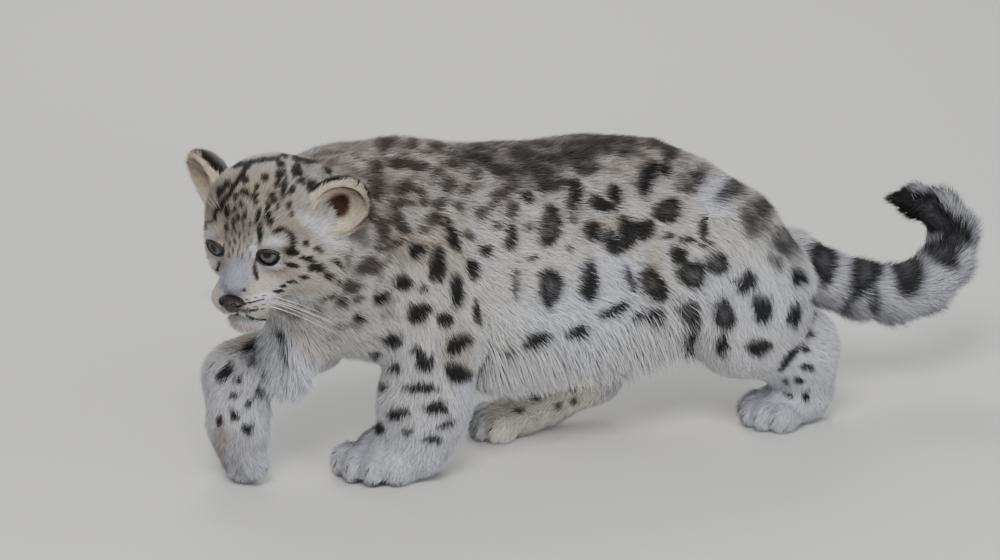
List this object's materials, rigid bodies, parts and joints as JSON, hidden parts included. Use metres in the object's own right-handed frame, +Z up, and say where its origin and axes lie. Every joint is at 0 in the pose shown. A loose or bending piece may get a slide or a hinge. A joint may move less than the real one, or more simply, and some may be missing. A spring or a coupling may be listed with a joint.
{
  "type": "snow leopard cub",
  "caption": "Life-size still model of a walking snow leopard cub, head turned to its left, one forepaw lifted, tail curled up at the tip.",
  "frame": {"origin": "on the floor, under the middle of the model's box", "axes": "+Z up, head towards -X and tail towards +X, the animal's own left side towards -Y"},
  "size_m": [0.7066, 0.1778, 0.2735],
  "materials": {
    "coat": "long soft fur, pale grey-cream with dark brown spots, warmer on the back and white below",
    "nose_leather": "moist dark brown skin, finely pebbled",
    "eye": "wet, clear cornea over a grey-blue iris"
  },
  "bodies": {
    "root": {"head": "coat", "nose": "nose_leather", "eye_left": "eye", "eye_right": "eye", "ear_left": "coat", "ear_right": "coat", "neck": "coat", "torso": "coat", "leg_front_left": "coat", "paw_front_left": "coat", "leg_front_right": "coat", "paw_front_right": "coat", "leg_hind_left": "coat", "paw_hind_left": "coat", "leg_hind_right": "coat", "paw_hind_right": "coat", "tail_base": "coat", "tail_middle": "coat", "tail_tip": "coat"}
  },
  "joints": []
}
